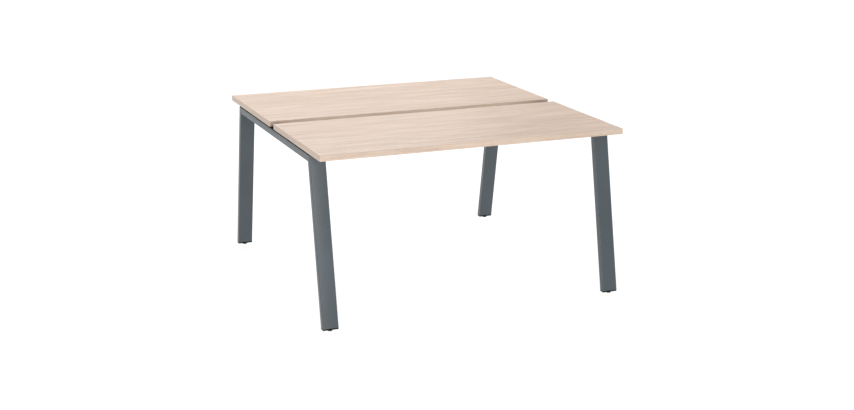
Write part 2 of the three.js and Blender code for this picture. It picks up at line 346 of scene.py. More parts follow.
def fit(piece, node, finish):
    """Finish a piece, and let it stand for its node on the node's body."""
    only(piece)
    bpy.ops.object.shade_smooth_by_angle(angle=SHARP_EDGE)
    piece.name = node + "_dressed"
    piece.data.name = piece.name
    piece.data.materials.clear()
    piece.data.materials.append(finish)
    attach(piece, body_of_node[node])
    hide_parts(node)
    return piece


def mm(length):
    """A length in metres, as rounded millimetres to print."""
    return round(length / MM, 2)


def mm_each(lengths):
    """The same for several lengths."""
    return tuple(mm(length) for length in lengths)


# %% [markdown]
# ## Worktop boards
# Each top is a board of 25 mm chipboard with laminate on both faces. Its raw edges are covered by the
# edging, and a trimmer leaves a hair-fine chamfer where laminate and edging meet. A dark line could be
# painted there, but a chamfer also catches the light as the real one does. So the board is a block whose
# upper and lower edges are bevelled by a quarter of a millimetre, just enough to draw the glue line.

# %% Cut the boards
GLUE_LINE = 0.25 * MM


def worktop_board(row):
    """One top, spread to meet the edging, with its glue line round both faces."""
    node = row + "_top_board"
    low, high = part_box(node)
    spread = Vector((GLUE_LINE, GLUE_LINE, 0))
    board = block(node, low - spread, high + spread)
    round_edges(board, lambda edge: not along(edge, Z_AXIS), GLUE_LINE, steps=1)
    return fit(board, node, laminate_oak)


for row in ("front", "rear"):
    board = worktop_board(row)
    print(board.name, "measures", mm_each(board.dimensions), "mm")

# %% [markdown]
# ## Edging strips
# A strip of 2 mm plastic is glued to each of the four edges of a top, and its outer edges are trimmed to
# a small radius. The long strips run through to the corners, where they are rounded too, and the end
# strips butt against them. One band round the whole top would be quicker, but the butt joints show at the
# corners. Each strip of the front top is modelled once. The rear top is the same top turned half round,
# so its strips are turned copies, and each copy has a mesh of its own with its place in it.

# %% Trim the edging
ARRIS = 1.2 * MM
ON_FACE = 0.01 * MM
HALF_TURN = Matrix.Rotation(math.pi, 4, "Z")
OUTWARD = {"user": (1, -1), "gap": (1, 1), "left": (0, -1), "right": (0, 1)}
TURNED = {"user": "user", "gap": "gap", "left": "right", "right": "left"}


def edging_strip(place):
    """A strip of the front top, rounded along its outer face."""
    axis, way = OUTWARD[place]
    low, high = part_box(f"front_top_{place}_edging")
    face = (high if way > 0 else low)[axis]
    long_strip = axis == 1

    def trimmed(edge):
        outer = all(abs(vert.co[axis] - face) < ON_FACE for vert in edge.verts)
        return outer and (long_strip or along(edge, Y_AXIS))

    strip = block(place + "_strip", low, high)
    round_edges(strip, trimmed, ARRIS, steps=4)
    return strip


def copy_of(piece, name, move):
    """A copy with its own mesh, moved inside that mesh."""
    twin = piece.copy()
    twin.data = piece.data.copy()
    twin.name = name
    bpy.context.scene.collection.objects.link(twin)
    twin.data.transform(move)
    return twin


for place in OUTWARD:
    oak = edging_oak if place in ("user", "gap") else end_edging_oak
    strip = edging_strip(place)
    turned = copy_of(strip, "turned_strip", HALF_TURN)
    fit(strip, f"front_top_{place}_edging", oak)
    fit(turned, f"rear_top_{TURNED[place]}_edging", oak)
    print(place, "strip and its turned copy,", len(strip.data.polygons), "faces each")

# %% [markdown]
# ## Powder coat
# The frames are sprayed with anthracite powder and baked. The coat flows out into a satin skin with a
# very fine peel, about a millimetre from hump to hump, and its tone drifts a little with its thickness.
# Steel suggests a metallic shader, but the steel is hidden: paint over it reflects as any lacquer does,
# with a plain gloss that grows where the eye grazes the tube. So metallic stays at nought.

# %% Spray the powder coat
def anthracite_coat():
    """Satin grey with a slow drift of tone, fine specks and peel."""
    finish, tree, shader, place = new_finish("anthracite_powder_coat")
    thickness = noise(tree, place, (5, 5, 5), detail=3)
    specks = noise(tree, place, (1900, 1900, 1900), detail=1)
    peel = noise(tree, place, (850, 850, 850), detail=2)
    thin = (0.047, 0.060, 0.069)
    usual = (0.052, 0.067, 0.078)
    thick = (0.058, 0.075, 0.088)
    tone = blend_of(tree, thickness, specks, share=0.35)
    grey = toned(tree, tone, [(0.36, thin), (0.5, usual), (0.64, thick)])
    tree.links.new(grey, shader.inputs["Base Color"])
    tree.links.new(ranged(tree, thickness, low=0.34, high=0.42), shader.inputs["Roughness"])
    bumped(tree, shader, peel, depth=0.12 * MM, strength=0.5)
    return finish


powder_coat = anthracite_coat()
print("frame finish:", powder_coat.name)

# %% [markdown]
# ## Leg frames: the crossbar
# A frame is not bent but sawn: flat tube of 70 by 30 mm is cut to a mitre and welded, so that crossbar
# and legs read as one band. The tube's long edges have the small radius of cold rolled steel. A profile
# swept along a path would pinch at the mitre, so we do what the workshop does. A block with four rounded
# edges is bored into a tube: both ends are inset by the wall, and the inner faces bridged. Then bisect is
# the saw. It cuts with a plane from the outer corner of the frame to its inner corner, throws one side
# away and closes the cut wall.

# %% Saw the crossbars
TUBE_RADIUS = 3 * MM
TUBE_STEPS = 5
TUBE_WALL = 2 * MM
FACING = 0.9


def faces_outward(piece):
    """Make all faces of a closed piece point outwards."""
    pick(piece, "FACE", everything)
    bpy.ops.mesh.normals_make_consistent(inside=False)
    only(piece)


def tube(name, low, high, direction, turn=(0, 0, 0)):
    """A block with rounded edges along a direction, bored that way from end to end."""
    bar = block(name, low, high, turn)
    round_edges(bar, lambda edge: along(edge, direction), TUBE_RADIUS, TUBE_STEPS)
    pick(bar, "FACE", lambda face: abs(face.normal.dot(direction.normalized())) > FACING)
    bpy.ops.mesh.inset(thickness=TUBE_WALL)
    bpy.ops.mesh.bridge_edge_loops()
    faces_outward(bar)
    return bar


def saw(piece, point, away):
    """Cut a piece with a plane through a point, and drop the side that the normal points to."""
    pick(piece, "FACE", everything)
    bpy.ops.mesh.bisect(plane_co=point, plane_no=away, use_fill=True, clear_outer=True)
    only(piece)


bar_low, bar_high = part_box("left_crossbar")
leg_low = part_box("left_front_leg")[0]
tube_depth = bar_high.z - bar_low.z
lean = (bar_low.y - leg_low.y) / (bar_high.z - leg_low.z)
lean_angle = math.atan(lean)
mitre_angle = math.pi / 4 - lean_angle / 2
mitre_away = Vector((0, -math.cos(mitre_angle), -math.sin(mitre_angle)))
outer_corner = Vector((0, bar_low.y, bar_high.z))
crossbar = tube("crossbar", bar_low, bar_high, Y_AXIS)
saw(crossbar, outer_corner, mitre_away)
saw(crossbar, HALF_TURN @ outer_corner, HALF_TURN @ mitre_away)
print("legs lean", round(math.degrees(lean_angle), 2), "degrees")
print("mitre at", round(math.degrees(mitre_angle), 2), "degrees")

# %% [markdown]
# ## Leg frames: the legs
# The leg is the same tube, leaning out by some eleven degrees. Its corners could be placed by sums, but a
# bevel needs them square to the tube. So it starts as a longer tube, turned to the lean, and the saw
# makes both ends: the mitre above, and below a level cut that the cap of the foot closes.

# %% Saw the leg
LEG_BLANK = 900 * MM
leg_middle = (bar_high.z + leg_low.z) / 2
leg_section = tube_depth * math.sqrt(1 + lean * lean)
leg_y = bar_low.y - lean * (bar_high.z - leg_middle) + leg_section / 2
leg_centre = Vector(((bar_high.x + bar_low.x) / 2, leg_y, leg_middle))
leg_reach = Vector(((bar_high.x - bar_low.x) / 2, tube_depth / 2, LEG_BLANK / 2))
leg_run = Vector((0, lean, 1))
leg = tube("leg", leg_centre - leg_reach, leg_centre + leg_reach, leg_run, (-lean_angle, 0, 0))
saw(leg, outer_corner, -mitre_away)
saw(leg, Vector((0, 0, leg_low.z)), -Z_AXIS)
print("leg from", mm_each(leg.bound_box[0]), "to", mm_each(leg.bound_box[6]), "mm")

# %% [markdown]
# ## Leg frames: the weld
# The outside of the mitre is ground flush before painting, but inside the corner the weld stays as a
# bead. Bump could paint its ripple, but a bead stands proud of the steel, so it is a shape: a rod laid in
# the corner, subdivided along its length, with every other ring drawn in as the weld pool leaves it. The
# rear bead is the front one mirrored, and a mirror turns faces inside out, so its normals are made anew.

# %% Lay the weld beads
BEAD_RADIUS = 2.2 * MM
BEAD_RINGS = 41
RIPPLE = 0.8


def weld_bead(start, end):
    """A rippled rod from start to end."""
    run = end - start
    pitch = run.length / (BEAD_RINGS + 1)
    clear_bench()
    bpy.ops.mesh.primitive_cylinder_add(vertices=12, radius=BEAD_RADIUS, depth=run.length)
    bead = settled("weld_bead")
    pick(bead, "EDGE", lambda edge: along(edge, Z_AXIS))
    bpy.ops.mesh.subdivide(number_cuts=BEAD_RINGS)
    for ring in range(0, BEAD_RINGS + 2, 2):
        level = ring * pitch - run.length / 2
        pick(bead, "VERT", lambda vert: abs(vert.co.z - level) < pitch / 4)
        bpy.ops.transform.resize(value=(RIPPLE, RIPPLE, 1))
    only(bead)
    turn = Z_AXIS.rotation_difference(run).to_matrix().to_4x4()
    bead.data.transform(Matrix.Translation((start + end) / 2) @ turn)
    return bead


inner_y = bar_low.y + tube_depth * math.tan(mitre_angle)
bead_start = Vector((bar_low.x + TUBE_RADIUS, inner_y, bar_low.z))
bead_end = Vector((bar_high.x - TUBE_RADIUS, inner_y, bar_low.z))
front_bead = weld_bead(bead_start, bead_end)
rear_bead = copy_of(front_bead, "rear_bead", Matrix.Scale(-1, 4, Y_AXIS))
faces_outward(rear_bead)
print("beads of", mm((bead_end - bead_start).length), "mm with", BEAD_RINGS, "rings")

# %% [markdown]
# ## Leg frames: put together
# A leg frame is one crossbar with two legs and two beads, and the desk has two frames. The beads are
# joined to the crossbar, because paint covers both as one skin. The legs stay apart, as the construction
# has them. Instances that share a mesh would be lighter, but each piece needs its place in its own mesh,
# so one crossbar and one leg are copied and moved to the other places.

# %% Set the crossbars and the legs
def joined(piece, *others):
    """One object out of several that are welded, glued or moulded together."""
    only(piece)
    for other in others:
        other.select_set(True)
    bpy.ops.object.join()
    return piece


left_crossbar = joined(crossbar, front_bead, rear_bead)
right_crossbar = copy_of(left_crossbar, "right_crossbar_tube", HALF_TURN)
fit(left_crossbar, "left_crossbar", powder_coat)
fit(right_crossbar, "right_crossbar", powder_coat)

ACROSS = Matrix.Translation((-2 * leg_centre.x, 0, 0))
CORNERS = {
    "left_front": Matrix.Identity(4),
    "right_front": ACROSS,
    "right_rear": HALF_TURN,
    "left_rear": HALF_TURN @ ACROSS,
}
for corner, move in CORNERS.items():
    fit(copy_of(leg, corner + "_tube", move), corner + "_leg", powder_coat)
bpy.data.objects.remove(leg)
print("crossbars with", len(left_crossbar.data.polygons), "faces, legs at", ", ".join(CORNERS))

# %% [markdown]
# ## Black rubber and black plastic
# The strips under the tops are black rubber, and the leg caps and foot pads are moulded in black
# polypropylene with a matt, lightly eroded skin. A plain black would look like a hole in the picture. So
# the tone clouds a little, and a fine erosion breaks up the gloss. The rubber is the duller of the two,
# which is a matter of roughness and of the specular level.

# %% Mix the two blacks
def black_skin(name, rough, gloss, repeats, depth):
    """A dark surface with a fine eroded texture of so many repeats per metre."""
    finish, tree, shader, place = new_finish(name)
    flow = noise(tree, place, (40, 40, 40), detail=2)
    erosion = noise(tree, place, (repeats, repeats, repeats), detail=2)
    tones = [(0.4, (0.002, 0.002, 0.002)), (0.6, (0.004, 0.004, 0.004))]
    black = toned(tree, blend_of(tree, flow, erosion, share=0.5), tones)
    tree.links.new(black, shader.inputs["Base Color"])
    tree.links.new(ranged(tree, erosion, *rough), shader.inputs["Roughness"])
    shader.inputs["Specular IOR Level"].default_value = gloss
    bumped(tree, shader, erosion, depth, strength=0.3)
    return finish


strip_rubber = black_skin("strip_rubber", rough=(0.72, 0.86), gloss=0.08, repeats=700, depth=0.1 * MM)
moulded_black = black_skin("moulded_black", rough=(0.46, 0.6), gloss=0.15, repeats=1300, depth=0.06 * MM)
print("black finishes:", strip_rubber.name, moulded_black.name)

# %% [markdown]
# ## Spacer strips
# A strip of rubber lies along each crossbar and keeps the tops a few millimetres clear of the steel. It
# is the dark line under the tops, and it shows again at the end of the cable gap. Such strips are
# extruded with a hollow along each side. A boolean could cut it, but an inset that is pushed in gives the
# same hollow with clean faces.

# %% Press the spacer strips
LIP = 1.1 * MM
HOLLOW = 0.8 * MM
TOP_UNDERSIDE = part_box("front_top_board")[0].z


def rubber_strip(node, side_axis):
    """A strip between frame and top, hollowed along the sides that face this axis."""
    low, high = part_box(node)
    strip = block(node, (low.x, low.y, bar_high.z), (high.x, high.y, TOP_UNDERSIDE))
    pick(strip, "FACE", lambda face: abs(face.normal[side_axis]) > FACING)
    bpy.ops.mesh.inset(thickness=LIP, depth=-HOLLOW, use_individual=True)
    return fit(strip, node, strip_rubber)


for side in ("left", "right"):
    strip = rubber_strip(side + "_spacer_strip", 0)
    print(strip.name, "measures", mm_each(strip.dimensions), "mm")

# %% [markdown]
# ## Beam pads
# Half way along, each top also rests on a beam, on a short pad of the same rubber. It is the same
# extrusion cut short and laid the other way, so the same function makes it, with the hollows turned.

# %% Press the beam pads
for row in ("front", "rear"):
    pad = rubber_strip(row + "_beam_pad", 1)
    print(pad.name, "measures", mm_each(pad.dimensions), "mm")

# %% [markdown]
# ## Beams
# A beam under each worktop ties the two frames together. It is a tube of 60 by 30 mm, rounded and bored
# as the frames are, with a plate welded on each end. A rippled bead would be lost in the shade down
# there, so each fillet weld is a plain wedge in the corner between tube and plate: a small block that is
# rooted in the tube, with its far edge pressed down to the tube's side. The plate is no taller than the
# tube, so the welds run on the two sides only.

# %% Weld the beams
FILLET = 3.5 * MM
FILLET_STOP = 1 * MM
FILLET_TOE = 0.3 * MM


def fillet_weld(side, out, plate_face, into, bottom, top):
    """A wedge on a tube's side, against a plate's face, sloping away from it."""
    near = Vector((plate_face, side - out * TUBE_WALL / 2, bottom + FILLET_STOP))
    far = Vector((plate_face + into * FILLET, side + out * FILLET, top - FILLET_STOP))
    low = [min(pair) for pair in zip(near, far)]
    high = [max(pair) for pair in zip(near, far)]
    wedge = block("fillet", low, high)
    pick(wedge, "VERT", lambda vert: (vert.co.xy - far.xy).length < ON_FACE)
    bpy.ops.transform.translate(value=(0, out * (FILLET_TOE - FILLET), 0))
    only(wedge)
    return wedge


def beam_tube(row):
    """A tube from plate to plate, with two welds at each end."""
    node = row + "_beam"
    low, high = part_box(node)
    reach = -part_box(f"{row}_beam_left_plate")[1].x
    beam = tube(node, (-reach, low.y, low.z), (reach, high.y, high.z), X_AXIS)
    welds = [
        fillet_weld(side, out, end * reach, -end, low.z, high.z)
        for end in (-1, 1)
        for side, out in ((low.y, -1), (high.y, 1))
    ]
    return fit(joined(beam, *welds), node, powder_coat)


for row in ("front", "rear"):
    beam = beam_tube(row)
    print(beam.name, "measures", mm_each(beam.dimensions), "mm")

# %% [markdown]
# ## Beam end plates
# The plates are laser cut from 5 mm steel. Their four corners are rounded and the cut edges are broken
# slightly, which lets the coat hold on them. An outline could be drawn and extruded, but a block with two
# bevels is quicker: first the four corners, then the rims of both faces, which are the edges that still
# have a right angle. One plate is modelled and copied to the other three places.

# %% Cut the end plates
PLATE_CORNER = 4 * MM
PLATE_BREAK = 0.5 * MM
ANGLE_SLACK = 0.05


def right_angled(edge):
    """True where two faces meet square."""
    return abs(edge.calc_face_angle(0) - math.pi / 2) < ANGLE_SLACK


plate_low, plate_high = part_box("front_beam_left_plate")
plate_low = Vector((bar_high.x, plate_low.y, plate_low.z))
end_plate = block("end_plate", plate_low, plate_high)
round_edges(end_plate, lambda edge: along(edge, X_AXIS), PLATE_CORNER, steps=5)
round_edges(end_plate, right_angled, PLATE_BREAK, steps=2)
to_right = Matrix.Translation((-plate_low.x - plate_high.x, 0, 0))
to_rear = Matrix.Translation((0, -plate_low.y - plate_high.y, 0))
plate_places = {
    "front_beam_left_plate": Matrix.Identity(4),
    "front_beam_right_plate": to_right,
    "rear_beam_left_plate": to_rear,
    "rear_beam_right_plate": to_right @ to_rear,
}
for node, move in plate_places.items():
    fit(copy_of(end_plate, node + "_flat", move), node, powder_coat)
bpy.data.objects.remove(end_plate)
print(len(plate_places), "plates of", mm_each(plate_high - plate_low), "mm")

# %% [markdown]
# ## Zinc plate
# Bolts, screws, nuts and studs are plated with zinc. Here the metal itself shows, so the shader is
# metallic and its colour sits in the reflection. A mirror would look like chrome. Plated parts are
# tumbled together in a drum, which leaves patches that are more or less bright and a faint spangle.

# %% Plate the zinc
def zinc_plate():
    """A soft grey metal with brighter patches and a fine spangle."""
    finish, tree, shader, place = new_finish("zinc_plate")
    patches = noise(tree, place, (160, 160, 160), detail=3)
    spangle = noise(tree, place, (1400, 1400, 1400), detail=1)
    tones = [(0.36, (0.47, 0.48, 0.49)), (0.64, (0.64, 0.64, 0.62))]
    grey = toned(tree, blend_of(tree, patches, spangle, share=0.4), tones)
    tree.links.new(grey, shader.inputs["Base Color"])
    tree.links.new(ranged(tree, patches, low=0.26, high=0.42), shader.inputs["Roughness"])
    shader.inputs["Metallic"].default_value = 1
    bumped(tree, shader, spangle, depth=0.02 * MM, strength=0.2)
    return finish


zinc = zinc_plate()
print("fastener finish:", zinc.name)

# %% [markdown]
# ## Turning and cutting
# Fasteners and feet are turned parts, so they start as a rod that stands on Z. A hexagon, for a key or a
# spanner, is a rod with six sides. Where one shape is cut out of another, a boolean modifier does it and
# is applied at once: insets could carve a hexagon too, but the boolean leaves the round face as it is.
# A cutter always reaches past the face that it opens, so that no thin skin stays behind.

# %% Rods, hexagons and cutters
SIXTH = math.pi / 6
PAST = 1 * MM
SAME_LEVEL = 0.001 * MM


def rod(name, radius, bottom, top, sides=48, turn=0.0):
    """A cylinder that stands on Z from bottom to top."""
    clear_bench()
    place = (0, 0, (top + bottom) / 2)
    bpy.ops.mesh.primitive_cylinder_add(
        vertices=sides, radius=radius, depth=top - bottom, location=place, rotation=(0, 0, turn))
    return settled(name)


def hexagon(name, across_flats, bottom, top):
    """A six-sided bar on Z, with two of its flats facing Y."""
    return rod(name, across_flats / 2 / math.cos(SIXTH), bottom, top, sides=6, turn=SIXTH)


def carved(piece, cutter):
    """Cut a piece with another shape, which is used up."""
    only(piece)
    cut = piece.modifiers.new("cut", "BOOLEAN")
    cut.operation = "DIFFERENCE"
    cut.object = cutter
    cut.solver = "EXACT"
    bpy.ops.object.modifier_apply(modifier=cut.name)
    bpy.data.objects.remove(cutter)
    return piece


def at_level(level):
    """A test for the edges that lie at one height."""
    return lambda edge: all(abs(vert.co.z - level) < SAME_LEVEL for vert in edge.verts)


print("cutters reach", PAST / MM, "mm past the face that they open")

# %% [markdown]
# ## Bolts
# Two button-head bolts hold each end plate to its crossbar. The head could be spun from half a profile,
# but a rod is quicker: its outer rim is rounded over in several steps, and a hexagon is cut for the key.
# The shank hides in the crossbar, so it needs no thread. The bolt is turned along Z with its head up.

# %% Turn the bolt
KEY_FLATS = 5 * MM
KEY_DEPTH = 2.6 * MM
HEAD_ROUND = 0.62
SEAT_BREAK = 0.3 * MM
SHANK_RADIUS = 4 * MM
ROOTED = 0.2 * MM

bolt_low, bolt_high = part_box("front_beam_left_front_bolt")
head_face = plate_high.x
head_height = bolt_high.x - head_face
head_radius = (bolt_high.z - bolt_low.z) / 2
bolt = rod("bolt", head_radius, 0, head_height)
round_edges(bolt, at_level(head_height), head_height * HEAD_ROUND, steps=6)
round_edges(bolt, at_level(0), SEAT_BREAK, steps=2)
bolt = carved(bolt, hexagon("key", KEY_FLATS, head_height - KEY_DEPTH, head_height + PAST))
bolt = joined(bolt, rod("shank", SHANK_RADIUS, bolt_low.x - head_face, ROOTED, sides=32))
print("bolt head", mm(2 * head_radius), "mm across,", len(bolt.data.polygons), "faces")

# %% [markdown]
# ## Driving the bolts
# The bolts lie along X, with their heads towards the middle of the desk, where a long key can reach them.
# Each copy is turned to lie down, then moved to its hole. Its own node's box says where the hole is, so
# the pattern could change and the bolts would follow.

# %% Drive the bolts
def middle_of(node):
    """The middle of a node's box."""
    low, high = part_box(node)
    return (low + high) / 2


HEAD_INWARD = {
    "left": Matrix.Rotation(math.pi / 2, 4, "Y"),
    "right": Matrix.Rotation(-math.pi / 2, 4, "Y"),
}
bolt_nodes = [node for node in frame["nodes"] if node.endswith("_bolt")]
for node in bolt_nodes:
    side = "left" if "_left_" in node else "right"
    seat = middle_of(node)
    seat.x = head_face if side == "left" else -head_face
    fit(copy_of(bolt, node + "_zinc", Matrix.Translation(seat) @ HEAD_INWARD[side]), node, zinc)
bpy.data.objects.remove(bolt)
print(len(bolt_nodes), "bolts driven")

# %% [markdown]
# ## Worktop screws
# The tops are screwed on from below, through the crossbars and the beams. A pan head sits on the
# underside of the tube, with a cross recess. A plain cross would look stamped; a real one narrows as it
# goes in, so two thin wedges are crossed and cut out of the head, each a block with its upper end drawn
# in. The shank goes up inside the tube.

# %% Turn the screw
RECESS_SPAN = 6.4 * MM
RECESS_WIDTH = 1.2 * MM
RECESS_DEPTH = 2 * MM
RECESS_TAPER = 0.45
PAN_ROUND = 0.5
SCREW_RADIUS = 3 * MM

screw_low, screw_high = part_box("front_top_left_screw_1")
pan_radius = (screw_high.x - screw_low.x) / 2
pan_height = bar_low.z - screw_low.z
screw = rod("screw", pan_radius, -pan_height, 0)
round_edges(screw, at_level(-pan_height), pan_height * PAN_ROUND, steps=6)
wedge_low = Vector((-RECESS_SPAN / 2, -RECESS_WIDTH / 2, -pan_height - PAST))
wedge_high = Vector((RECESS_SPAN / 2, RECESS_WIDTH / 2, -pan_height + RECESS_DEPTH))
for turn in (0, math.pi / 2):
    wedge = block("wedge", wedge_low, wedge_high, (0, 0, turn))
    pick(wedge, "FACE", lambda face: face.normal.z > FACING)
    bpy.ops.transform.resize(value=(RECESS_TAPER, RECESS_TAPER, 1))
    screw = carved(screw, wedge)
screw = joined(screw, rod("shank", SCREW_RADIUS, -ROOTED, screw_high.z - bar_low.z, sides=24))
print("pan head", mm(2 * pan_radius), "mm across,", len(screw.data.polygons), "faces")

# %% [markdown]
# ## Driving the screws
# Each top has five screws: two through each crossbar and one through its beam. They stand upright, so a
# copy only has to be moved. All heads sit on the same level, the underside of the tubes.

# %% Drive the screws
screw_nodes = [node for node in frame["nodes"] if "_screw" in node]
for node in screw_nodes:
    seat = middle_of(node)
    seat.z = bar_low.z
    fit(copy_of(screw, node + "_zinc", Matrix.Translation(seat)), node, zinc)
bpy.data.objects.remove(screw)
print(len(screw_nodes), "screws driven up to", mm(screw_high.z), "mm")

# %% [markdown]
# ## Leg caps
# A black cap closes the level cut of each leg. Its rim has the outline of the tube, with a soft lower
# edge, and a plug reaches up into the leg. Rim and plug could be two blocks, but they are one moulding.
# So the rim's upper face is inset and extruded along the lean, as the inside of the leg runs.

# %% Mould the cap
SEAM = 0.05 * MM
RIM_ROUND = 0.9 * MM
PLUG_INSET = 2.4 * MM

cap_low, cap_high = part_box("left_front_leg_cap")
rim_top = leg_low.z - SEAM
rim_low = Vector((leg_centre.x - leg_reach.x, leg_low.y, cap_low.z))
rim_high = Vector((leg_centre.x + leg_reach.x, leg_low.y + leg_section, rim_top))
cap = block("leg_cap", rim_low, rim_high)
round_edges(cap, lambda edge: along(edge, Z_AXIS), TUBE_RADIUS, TUBE_STEPS)
round_edges(cap, at_level(cap_low.z), RIM_ROUND, steps=4)
pick(cap, "FACE", lambda face: face.normal.z > FACING)
bpy.ops.mesh.inset(thickness=PLUG_INSET)
rise = cap_high.z - rim_top
bpy.ops.mesh.extrude_region_move(TRANSFORM_OT_translate={"value": (0, lean * rise, rise)})
only(cap)
print("cap rim", mm(rim_top - cap_low.z), "mm high, plug", mm(rise), "mm")

# %% [markdown]
# ## The pocket in the cap
# The cap holds a nut for the foot. A nut that is moulded in would need no opening, but a pressed-in nut
# is more common, and its six-sided pocket shows from below when the foot is screwed out. The pocket is
# cut from below, and a bore goes on up through the plug, so that the stud can rise past the nut.

# %% Cut the pocket and the bore
POCKET_FLATS = 13.6 * MM
POCKET_ROOM = 0.3 * MM
BORE_RADIUS = 4.5 * MM

foot = middle_of("left_front_foot_pad")
to_foot = Matrix.Translation((foot.x, foot.y, 0))
nut_low, nut_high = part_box("left_front_foot_nut")
pocket = hexagon("pocket", POCKET_FLATS, cap_low.z - PAST, nut_high.z + POCKET_ROOM)
bore = rod("bore", BORE_RADIUS, nut_high.z - PAST, cap_high.z + PAST, sides=32)
for cutter in (pocket, bore):
    cutter.data.transform(to_foot)
    cap = carved(cap, cutter)
print("cap with", len(cap.data.polygons), "faces")

# %% [markdown]
# ## Nuts
# The nut in the cap is a hexagon with a bore and broken corners. It could be left out, since the cap
# hides most of it, but it shows from below and it carries the desk.

# %% Cut the nut
NUT_BREAK = 0.5 * MM
NUT_BORE = 4.2 * MM

nut = hexagon("nut", nut_high.y - nut_low.y, nut_low.z, nut_high.z)
round_edges(nut, lambda edge: not along(edge, Z_AXIS), NUT_BREAK, steps=2)
nut = carved(nut, rod("bore", NUT_BORE, nut_low.z - PAST, nut_high.z + PAST, sides=32))
print("nut", mm(nut_high.z - nut_low.z), "mm high,", len(nut.data.polygons), "faces")

# %% [markdown]
# ## Studs: the thread
# The stud that turns in the nut is an M8 thread, and it comes into sight when the foot is screwed out. A
# stack of rings would look threaded, but it would not climb as it turns. So the thread is a real one: a
# zigzag of one pitch, drawn as single vertices, wound up the axis by a Screw modifier. The winding starts
# and ends in a slant, so it is made too long, merged and sawn flat at both ends.

# %% Wind the thread
PITCH = 1.25 * MM
CREST = 4 * MM
ROOT = 3.3 * MM
TURN_STEPS = 28
TURNS_BELOW = 2
TURNS_SPARE = 3
THREAD_SUNK = 0.5 * MM
MERGED = 0.01 * MM
CLEARANCE = 0.3 * MM

stud_low, stud_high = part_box("left_front_foot_stud")
pad_low, pad_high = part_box("left_front_foot_pad")
collar_low = pad_high.z + CLEARANCE
collar_high = cap_low.z - CLEARANCE
thread_start = collar_high - TURNS_BELOW * PITCH
clear_bench()
bpy.ops.mesh.primitive_plane_add(size=1 * MM, location=(ROOT, 0, thread_start))
stud = settled("stud")
pick(stud, "VERT", everything)
bpy.ops.mesh.merge(type="CENTER")
for step in (CREST - ROOT, ROOT - CREST):
    bpy.ops.mesh.extrude_vertices_move(TRANSFORM_OT_translate={"value": (step, 0, PITCH / 2)})
only(stud)
winding = stud.modifiers.new("winding", "SCREW")
winding.axis = "Z"
winding.screw_offset = PITCH
winding.angle = 2 * math.pi
winding.iterations = math.ceil((stud_high.z - collar_high) / PITCH) + TURNS_SPARE
winding.steps = TURN_STEPS
winding.render_steps = TURN_STEPS
winding.use_merge_vertices = True
winding.merge_threshold = MERGED
bpy.ops.object.modifier_apply(modifier=winding.name)
pick(stud, "VERT", everything)
bpy.ops.mesh.remove_doubles(threshold=MERGED)
saw(stud, Vector((0, 0, stud_high.z)), Z_AXIS)
saw(stud, Vector((0, 0, collar_high - THREAD_SUNK)), -Z_AXIS)
faces_outward(stud)
print("thread of", round((stud_high.z - collar_high) / PITCH, 1), "turns up to", mm(stud_high.z), "mm")

# %% [markdown]
# ## Studs: the hexagon and the neck
# Below the thread are a flat hexagon for the spanner and a neck that snaps into the pad. They are turned
# from the same bar as the thread. Fusing the three with a boolean would cut up the thread's fine faces
# for nothing, so they are joined as they are, each reaching a little into the next.

# %% Add the hexagon and the neck
HEXAGON_BREAK = 0.25 * MM
NECK_RADIUS = 3.2 * MM

collar = hexagon("collar", stud_high.y - stud_low.y, collar_low, collar_high)
round_edges(collar, lambda edge: not along(edge, Z_AXIS), HEXAGON_BREAK, steps=2)
neck = rod("neck", NECK_RADIUS, stud_low.z, collar_low + ROOTED, sides=32)
stud = joined(stud, collar, neck)
print("stud from", mm(stud_low.z), "to", mm(stud_high.z), "mm,", len(stud.data.polygons), "faces")

# %% [markdown]
# ## Foot pads
# The desk stands on four round pads of black plastic. A pad is a short rod with a broad round where it
# meets the floor and a smaller one above. Left flat below, it would rock on a grain of sand, so real pads
# are hollowed and slide on their rim: two insets make that ring. A socket takes the neck of the stud.

# %% Mould the foot pad
FLOOR_ROUND = 1.2 * MM
UPPER_ROUND = 0.8 * MM
RIM_WIDTH = 2.6 * MM
RIM_DEPTH = 0.4 * MM
SOCKET_RADIUS = 3.4 * MM
LEVEL_FACE = 0.99

pad_radius = (pad_high.x - pad_low.x) / 2
pad = rod("pad", pad_radius, pad_low.z, pad_high.z, sides=64)
round_edges(pad, at_level(pad_low.z), FLOOR_ROUND, steps=5)
round_edges(pad, at_level(pad_high.z), UPPER_ROUND, steps=4)
pick(pad, "FACE", lambda face: face.normal.z < -LEVEL_FACE)
bpy.ops.mesh.inset(thickness=RIM_WIDTH)
bpy.ops.mesh.inset(thickness=RIM_DEPTH, depth=-RIM_DEPTH)
only(pad)
pad = carved(pad, rod("socket", SOCKET_RADIUS, stud_low.z - CLEARANCE, pad_high.z + PAST, sides=32))
print("pad", mm(2 * pad_radius), "mm across,", len(pad.data.polygons), "faces")

# %% [markdown]
# ## The feet, put together
# Each corner gets a cap and a nut, which stay with the desk, and a stud and a pad, which move: the stud
# turns and climbs, and the pad goes up and down with it. The caps lean with their legs, so they are
# turned as the legs are. Nut, stud and pad stand upright and only need to be moved to their axis.

# %% Put the feet together
for corner, move in CORNERS.items():
    axis = middle_of(corner + "_foot_pad")
    upright = Matrix.Translation((axis.x, axis.y, 0))
    fit(copy_of(cap, corner + "_cap_moulding", move), corner + "_leg_cap", moulded_black)
    fit(copy_of(nut, corner + "_nut_zinc", upright), corner + "_foot_nut", zinc)
    fit(copy_of(stud, corner + "_stud_zinc", upright), corner + "_foot_stud", zinc)
    fit(copy_of(pad, corner + "_pad_moulding", upright), corner + "_foot_pad", moulded_black)
for pattern in (cap, nut, stud, pad):
    bpy.data.objects.remove(pattern)
print("feet at", ", ".join(CORNERS))

